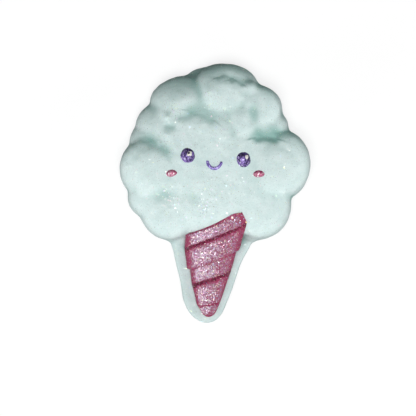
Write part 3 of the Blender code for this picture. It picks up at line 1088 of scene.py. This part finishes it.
@dataclass
class Glitter:
    """Fine hexagonal flakes lying on the body, one piece for each colour."""

    kinds: tuple[FlakeKind, ...]
    clusters: tuple[Cluster, ...]
    tilt: float = 24.0
    thickness: float = 0.05
    sizes: Point2 = (0.7, 1.15)
    lift: float = 0.6
    lowest: float = 5.0

    def build(self, design: Design, cloud: Object, cone: Object) -> list[Object]:
        """Scatter every colour over the cloud and the cone.

        Args:
            design: The scale and place of the design.
            cloud: The mint body.
            cone: The cone's coat.

        Returns:
            One object for each colour.
        """
        made = []
        on_cloud, on_cone = self._on_cloud(cloud.data, design), self._on_cone(cone.data)
        for kind in self.kinds:
            rng = np.random.default_rng(kind.seed)
            spots = [self._spots(rng, cloud.data, kind.on_cloud, design, on_cloud),
                     self._spots(rng, cone.data, kind.on_cone, design, on_cone)]
            places = np.concatenate([spot[0] for spot in spots])
            normals = np.concatenate([spot[1] for spot in spots])
            obj = link_object(kind.name, self._flakes(rng, kind, places, normals, design))
            obj.data.materials.append(kind.finish.material())
            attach(obj, Body.ROOT.value)
            made.append(obj)
        return made

    def _on_cloud(self, mesh: Mesh, design: Design) -> np.ndarray:
        """How thickly glitter fell at each vertex of the cloud: most in a few clusters."""
        points = points_of(mesh)
        x = (points[:, 0] - design.shift_x) / design.unit
        y = (points[:, 1] - design.shift_y) / design.unit
        density = np.full(x.shape, 1.0)
        for cluster in self.clusters:
            gap = np.hypot(x - cluster.at[0], y - cluster.at[1])
            density += cluster.gain * np.exp(-(gap / cluster.spread) ** 2)
        return density

    def _on_cone(self, mesh: Mesh) -> np.ndarray:
        """How thickly glitter lies at each vertex of the cone: as the mica under it."""
        cover = np.empty(len(mesh.vertices), dtype=np.float32)
        mesh.attributes["mica"].data.foreach_get("value", cover)
        return np.clip(cover + 0.8, 0.15, 1.0)

    def _spots(self, rng: np.random.Generator, mesh: Mesh, count: int, design: Design,
               density: np.ndarray) -> tuple[np.ndarray, np.ndarray]:
        """Pick places on the upward faces of a mesh.

        Args:
            rng: The seeded source of chance.
            mesh: What they lie on.
            count: How many.
            design: The scale and place of the design.
            density: How thickly they lie at each vertex.

        Returns:
            The places and their normals.
        """
        mesh.calc_loop_triangles()
        corners = np.empty(len(mesh.loop_triangles) * 3, dtype=np.int64)
        mesh.loop_triangles.foreach_get("vertices", corners)
        corners = corners.reshape(-1, 3)
        a, b, c = (points_of(mesh)[corners[:, k]] for k in range(3))
        normal = np.cross(b - a, c - a)
        area = np.linalg.norm(normal, axis=1)
        normal = normal / np.maximum(area, 1e-15)[:, None]
        middle = (a + b + c) / 3
        weight = area * density[corners].mean(axis=1)
        weight = weight * (normal[:, 2] > 0.2) * (middle[:, 2] > self.lowest * design.unit)
        chosen = rng.choice(len(area), size=count, p=weight / weight.sum())
        u, v = rng.random((2, count))
        u, v = np.where(u + v > 1, 1 - u, u)[:, None], np.where(u + v > 1, 1 - v, v)[:, None]
        places = a[chosen] + u * (b - a)[chosen] + v * (c - a)[chosen]
        return places, normal[chosen]

    def _flakes(self, rng: np.random.Generator, kind: FlakeKind, places: np.ndarray, normals: np.ndarray,
                design: Design) -> Mesh:
        """Build the hexagonal plates in one mesh.

        Args:
            rng: The seeded source of chance.
            kind: The colour and size of the flakes.
            places: Where they lie.
            normals: The surface's normals there.
            design: The scale of the design.

        Returns:
            The mesh.
        """
        count = len(places)
        lean = math.tan(math.radians(self.tilt)) * np.sqrt(rng.random(count))[:, None]
        stray = rng.normal(size=(count, 3))
        stray -= (stray * normals).sum(axis=1)[:, None] * normals
        stray /= np.linalg.norm(stray, axis=1)[:, None]
        up = normals + lean * stray
        up /= np.linalg.norm(up, axis=1)[:, None]
        side = np.cross(up, stray)
        side /= np.linalg.norm(side, axis=1)[:, None]
        front = np.cross(up, side)
        radius = (kind.radius * design.unit * rng.uniform(*self.sizes, count))[:, None]
        half = self.thickness / 2 * design.unit
        rings = []
        for level in (-1.0, 1.0):
            for k in range(6):
                angle = k * math.pi / 3
                arm = (math.cos(angle) * side + math.sin(angle) * front) * radius
                rings.append(places + arm + up * (half * (level + self.lift)))
        points = np.stack(rings, axis=1).reshape(-1, 3)
        pattern = [tuple(range(5, -1, -1)), tuple(range(6, 12))]
        pattern += [(k, (k + 1) % 6, 6 + (k + 1) % 6, 6 + k) for k in range(6)]
        faces = [tuple(12 * flake + corner for corner in face) for flake in range(count) for face in pattern]
        mesh = bpy.data.meshes.new(kind.name)
        mesh.from_pydata(points.tolist(), [], faces)
        mesh.update()
        return mesh


# ---- the studio


@dataclass(frozen=True)
class Lamp:
    """A soft round lamp that looks at the piece."""

    name: str
    at: Point3
    size: float
    power: float


@dataclass
class Studio:
    """A pale floor, soft lamps and a camera straight above."""

    lamps: tuple[Lamp, ...]
    view_width: float = 0.1607
    view_middle: Point2 = (-0.0027, -0.0058)
    camera_height: float = 1.2
    sensor: float = 36.0
    sky: float = 0.05
    floor_half: float = 3.0
    floor_bounce: float = 0.4
    floor_pale: float = 0.30
    floor_glow: float = 0.71

    def build(self) -> None:
        """Set up the floor, the lamps, the sky and the camera."""
        self._floor()
        for lamp in self.lamps:
            data = bpy.data.lights.new(lamp.name, "AREA")
            data.shape = "DISK"
            data.size = lamp.size
            data.energy = lamp.power
            obj = link_object(lamp.name, data)
            obj.location = lamp.at
            obj.rotation_euler = (-Vector(lamp.at)).to_track_quat("-Z", "Y").to_euler()
        world = bpy.data.worlds.new("studio")
        world.use_nodes = True
        world.node_tree.nodes["Background"].inputs["Strength"].default_value = self.sky
        world.node_tree.nodes["Background"].inputs["Color"].default_value = (1.0, 1.0, 1.0, 1.0)
        bpy.context.scene.world = world
        bpy.context.scene.view_settings.view_transform = "Standard"
        self._camera()

    def _floor(self) -> None:
        """Lay the pale floor, which looks paler than the light that it throws back up."""
        bm = bmesh.new()
        bmesh.ops.create_grid(bm, x_segments=1, y_segments=1, size=self.floor_half)
        floor = link_object("floor", mesh_of("floor", bm))
        sheet = NodeSheet("studio_floor")
        sheet.shader.inputs["Base Color"].default_value = (*[self.floor_bounce] * 3, 1.0)
        sheet.shader.inputs["Roughness"].default_value = 1.0
        pale = sheet.add("ShaderNodeBsdfDiffuse", {"Color": (*[self.floor_pale] * 3, 1.0)})
        glow = sheet.add("ShaderNodeEmission", {"Strength": self.floor_glow})
        both = sheet.add("ShaderNodeAddShader", {0: pale.outputs[0], 1: glow.outputs[0]})
        seen = sheet.add("ShaderNodeLightPath").outputs["Is Camera Ray"]
        out = sheet.add("ShaderNodeMixShader", {0: seen, 1: sheet.shader.outputs[0], 2: both.outputs[0]})
        sheet.feed(sheet.tree.nodes["Material Output"].inputs["Surface"], out.outputs[0])
        floor.data.materials.append(sheet.material)

    def _camera(self) -> None:
        """Hang the camera straight above, with a long lens."""
        data = bpy.data.cameras.new("camera")
        data.sensor_width = self.sensor
        data.lens = self.sensor * self.camera_height / self.view_width
        data.clip_end = 10.0
        camera = link_object("camera", data)
        camera.location = (*self.view_middle, self.camera_height)
        bpy.context.scene.camera = camera


# ---- sizes


PUFFS = (
    Puff("belly", -0.3, 8.2, 29.6, 27.6, 0, 13.0, 23.0, 2.9, 0.0),
    Puff("shoulder", 0.4, 28.0, 24.0, 15.8, 0, 11.0, 21.8, 2.5, 0.35),
    Puff("left_shoulder", -15.5, 29.5, 9.5, 8.5, 0, 11.0, 20.2, 2.6, 0.3),
    Puff("crown", 3.6, 39.6, 13.3, 10.1, -3, 7.5, 20.9, 2.4, 0.3),
    Puff("crown_shoulder", -4.2, 38.3, 10.0, 9.8, 0, 0.5, 16.5, 1.8, 0.3),
    Puff("crown_curl", 3.0, 36.0, 10.5, 8.8, 0, 14.0, 21.8, 3.3, 0.08),
    Puff("top_left", -13.4, 35.8, 12.6, 8.9, 13, 8.0, 19.4, 2.2, 0.4),
    Puff("left_upper", -20.4, 24.4, 11.0, 10.7, 0, 9.0, 19.6, 2.2, 0.4),
    Puff("left_bridge", -26.7, 19.0, 7.0, 7.6, 0, 9.0, 17.2, 2.2, 0.3),
    Puff("left", -24.9, 8.8, 12.8, 12.9, 0, 12.0, 21.0, 2.7, 0.05),
    Puff("left_cap", -23.2, 7.2, 11.4, 12.2, 12, 14.0, 22.1, 3.5, 0.0),
    Puff("left_low", -25.9, -2.2, 8.6, 8.6, 0, 11.0, 19.6, 2.6, 0.05),
    Puff("lower_left", -16.8, -5.4, 13.6, 14.1, 0, 12.0, 21.2, 3.0, 0.05),
    Puff("right_top", 15.6, 31.9, 10.3, 9.6, 0, 12.0, 21.0, 3.2, 0.0),
    Puff("right_top_cap", 19.2, 30.8, 6.8, 8.2, -8, 15.0, 21.2, 3.0, 0.0),
    Puff("right_bridge", 21.6, 25.0, 6.8, 6.2, 0, 11.0, 17.6, 2.4, 0.1),
    Puff("right", 24.3, 10.4, 12.6, 14.1, 0, 12.5, 21.4, 3.2, 0.0),
    Puff("right_cap", 21.6, 8.2, 12.3, 12.2, 0, 14.5, 22.7, 3.6, 0.0),
    Puff("right_low", 16.4, -5.0, 13.0, 14.0, 0, 12.0, 21.2, 3.0, 0.05),
    Puff("pearl_upper", -18.5, 28.4, 3.4, 3.4, 0, 17.0, 20.9, 2.0, 0.1),
    Puff("pearl_lower", -18.5, 21.5, 3.9, 3.9, 0, 18.0, 22.0, 2.0, 0.1),
    Puff("brow_far_left", -12.0, 24.0, 6.6, 6.2, 0, 17.5, 21.8, 2.2, 0.2),
    Puff("brow_left", -5.4, 24.8, 7.2, 6.8, 0, 18.0, 22.7, 2.2, 0.2),
    Puff("brow_middle", 3.0, 21.8, 7.6, 6.8, 0, 19.0, 23.1, 2.2, 0.2),
    Puff("brow_right", 10.0, 26.0, 8.0, 8.4, 0, 18.0, 22.6, 2.6, 0.2),
    Puff("crown_bridge", 12.5, 39.2, 4.4, 4.4, 0, 9.0, 20.6, 2.8, 0.0),
    Puff("throat_left", -13.4, -16.8, 4.4, 5.0, 0, 8.0, 13.5, 2.2, 0.2),
    Puff("throat_right", 13.2, -15.4, 4.4, 4.6, 0, 8.0, 14.0, 2.2, 0.2),
)

PRESSES = (
    Press("curl_top", (0.8, 43.6), (5.4, 43.4), 0.8, 2.2, 0.9, 1.0),
    Press("curl_side", (5.8, 42.4), (9.8, 41.2), 0.7, 2.0, 1.0, 0.8),
    Press("brow_crease", (-9.4, 30.6), (-2.0, 27.6), 0.6, 4.0, 2.0, 0.85),
    Press("brow_fold", (-16.3, 27.4), (-9.5, 28.9), 0.3, 2.5, 1.6, 0.5),
    Press("top_crease", (15.0, 36.6), (14.0, 27.2), 0.5, 2.2, 2.4, 0.7),
    Press("right_valley", (15.6, 20.4), (22.4, 20.1), 0.5, 3.0, 1.6, 1.8),
    Press("right_streak", (16.4, 22.4), (21.3, 20.5), -0.3, 1.4, 1.1, 0.6),
    Press("outer_valley", (24.3, 22.2), (29.0, 23.4), -0.3, 2.0, 1.6, 1.2),
    Press("left_valley", (-33.5, 19.2), (-23.0, 20.0), 1.6, 3.4, 1.6, 0.5),
    Press("left_arc", (-20.5, 17.0), (-17.5, 13.2), 0.5, 1.6, 1.8, 0.4),
    Press("low_left_dent", (-22.5, -1.6), (-8.6, -2.6), 0.6, 2.8, 2.4, 0.4),
    Press("left_hollow", (-25.0, 18.0), (-19.0, 15.6), 0.3, 2.6, 1.8, 0.5),
    Press("pearl_gap", (-18.9, 24.9), (-16.4, 24.6), 0.0, 1.1, 1.0, 0.4),
    Press("brow_dip", (-13.6, 28.6), (-11.4, 28.2), 0.0, 1.4, 1.4, 0.4),
    Press("brow_cleft", (4.2, 27.6), (6.0, 22.6), 0.4, 1.8, 1.8, 0.4),
    Press("temple", (13.4, 30.8), (14.9, 24.2), -0.3, 1.8, 1.8, 0.5),
)

PLATE_OUTLINE = (
    (-17.0, -15.0), (-16.1, -24.0), (-13.5, -35.5), (-11.8, -43.5), (-8.5, -48.5),
    (-3.1, -50.5), (1.3, -48.1), (3.9, -43.2), (9.1, -29.0), (12.4, -15.0),
)

BANDS = (
    Band("collar", (-11.7, -16.5), (9.8, -8.2),
         (-12.0, -21.3), (11.7, -11.8), Seam(0.8, 1.1, 0.45)),
    Band("long_turn", (-12.1, -21.5), (11.7, -12.0),
         (-11.2, -29.4), (8.9, -22.3), Seam(0.25, 0.4, 0.4)),
    Band("short_turn", (-10.0, -29.9), (7.9, -22.9),
         (-9.4, -35.1), (5.7, -30.1), Seam(0.9, 1.2, 0.3)),
    Band("low_turn", (-9.4, -35.4), (5.7, -30.4),
         (-7.2, -43.6), (1.8, -41.9), Seam(0.4, 0.5, 0.3)),
    Band("nub", (-7.1, -43.8), (1.6, -42.2),
         (-6.0, -45.4), (0.5, -44.9), Seam(0.0, 1.0, 2.9)),
)

ROSE = MicaFinish(
    "cone_mica", seam=(0.11, 0.006, 0.028), bare=(0.32, 0.035, 0.10), deep=(0.25, 0.055, 0.115),
    mid=(0.32, 0.125, 0.21), bright=(0.49, 0.29, 0.40), fleck_and_glint=(0.80, 0.66, 0.77), metallic=0.05,
    roughness=0.6, grain=0.00042, streak=0.0006, spark_share=0.2, fleck=0.62,
)
VIOLET = MicaFinish(
    "eye_mica", seam=(0.02, 0.012, 0.04), bare=(0.02, 0.012, 0.04), deep=(0.03, 0.02, 0.07),
    mid=(0.11, 0.07, 0.25), bright=(0.29, 0.20, 0.51), fleck_and_glint=(0.60, 0.54, 0.80), grain=0.0004,
    streak=0.0008,
)
LILAC = MicaFinish(
    "smile_mica", seam=(0.05, 0.03, 0.14), bare=(0.05, 0.03, 0.14), deep=(0.12, 0.08, 0.30),
    mid=(0.22, 0.16, 0.46), bright=(0.40, 0.33, 0.68), fleck_and_glint=(0.66, 0.62, 0.88), grain=0.0004,
    streak=0.0008,
)
BLUSH = MicaFinish(
    "cheek_mica", seam=(0.16, 0.02, 0.05), bare=(0.16, 0.02, 0.05), deep=(0.30, 0.045, 0.12),
    mid=(0.47, 0.16, 0.25), bright=(0.58, 0.29, 0.38), fleck_and_glint=(0.95, 0.88, 0.90), grain=0.0004,
    streak=0.0008, spark_share=0.3,
)

FACE_TURN = -4.6
EYES = (
    Button("eye_left_coat", (-10.75, 13.45), (2.83, 3.08), 1.9, FACE_TURN, Slot.EYE, 31),
    Button("eye_right_coat", (10.25, 12.0), (3.0, 3.08), 1.9, FACE_TURN, Slot.EYE, 33),
)
CHEEKS = (
    Button("cheek_left_coat", (-16.7, 6.85), (2.38, 1.4), 1.0, 8.0, Slot.CHEEK, 35),
    Button("cheek_right_coat", (16.45, 6.6), (2.5, 1.45), 1.0, 0.0, Slot.CHEEK, 37),
)
PITS = (
    Button("eye_left_pit", (-10.3, 14.45), (0.5, 0.46), 0.4, 20.0, Slot.EYE, 45,
           segments=28, rings=14, coat=-1.0),
)
GLINTS = (
    Button("eye_left_glint", (-10.15, 14.1), (0.98, 1.0), 0.4, 20.0, Slot.EYE_LIGHT, 41,
           wobble=0.1, segments=28, rings=14),
    Button("eye_right_glint", (11.45, 12.85), (0.72, 0.92), 0.4, -25.0, Slot.EYE_LIGHT, 43,
           wobble=0.1, segments=28, rings=14),
)

CLUSTERS = (
    Cluster((-17.0, 30.8), 3.0, 6.0),
    Cluster((-20.0, 17.0), 4.5, 4.0),
    Cluster((-5.3, -5.8), 2.6, 8.0),
    Cluster((-3.5, -2.0), 7.0, 2.5),
    Cluster((-17.0, -1.5), 6.0, 2.5),
    Cluster((0.5, 29.5), 8.0, 1.5),
    Cluster((19.5, 30.5), 3.0, 1.5),
)

FLAKES = (
    FlakeKind("pearl_glitter", FlakeFinish("pearl_film", (0.95, 0.88, 0.78), (0.86, 0.92, 0.95)),
              1500, 1100, 0.1, 64),
    FlakeKind("green_glitter", FlakeFinish("green_film", (0.50, 0.82, 0.50), (0.88, 0.88, 0.35)),
              800, 500, 0.1, 52),
    FlakeKind("rose_glitter", FlakeFinish("rose_film", (0.95, 0.50, 0.50), (0.78, 0.50, 0.95)),
              1000, 1600, 0.09, 55),
    FlakeKind("blue_glitter", FlakeFinish("blue_film", (0.35, 0.50, 0.95), (0.45, 0.88, 0.85)),
              700, 800, 0.09, 54),
)

LAMPS = (
    Lamp("main_softbox", (-0.04, -0.28, 1.97), 1.2, 35.5),
    Lamp("front_left_softbox", (-0.75, -0.9, 0.10), 0.5, 5.4),
    Lamp("front_right_softbox", (0.75, -0.9, 0.10), 0.5, 4.4),
    Lamp("left_softbox", (-1.05, -0.3, 0.16), 0.6, 3.4),
    Lamp("right_softbox", (1.1, 0.0, 0.18), 0.6, 4.0),
)


# ---- building


def report(objects: Iterable[Object]) -> None:
    """Log each piece with its size and its number of faces."""
    for obj in objects:
        size = " x ".join(f"{1000 * side:.1f}" for side in obj.dimensions)
        LOG.info("%s: %s mm, %d faces", obj.name, size, len(obj.data.polygons))


def main() -> None:
    """Build the pressing, its painted relief, its glitter and the studio."""
    logging.basicConfig(level=logging.INFO, format="%(name)s: %(message)s")
    design = Design.from_frame()
    cloud, design = Cloud(PUFFS, PRESSES, PLATE_OUTLINE, PowderFinish()).build(design)
    report([cloud])
    ground = Ground.of(cloud)
    cone = WrappedCone(BANDS, ROSE).build(design, ground)
    report([cone])
    violet, blush = VIOLET.material(), BLUSH.material()
    eyes = [eye.build(design, ground, violet) for eye in EYES]
    cheeks = [cheek.build(design, ground, blush) for cheek in CHEEKS]
    smile = Smile().build(design, ground, LILAC.material())
    raised = Ground.of(cloud, *eyes)
    dab = DabFinish().material()
    glints = [glint.build(design, raised, dab) for glint in GLINTS]
    pits = [pit.build(design, Ground.of(cloud, *eyes, *glints), violet) for pit in PITS]
    report([*eyes, *cheeks, smile, *glints, *pits])
    report(Glitter(FLAKES, CLUSTERS).build(design, cloud, cone))
    Studio(LAMPS).build()


if __name__ == "__main__":
    main()
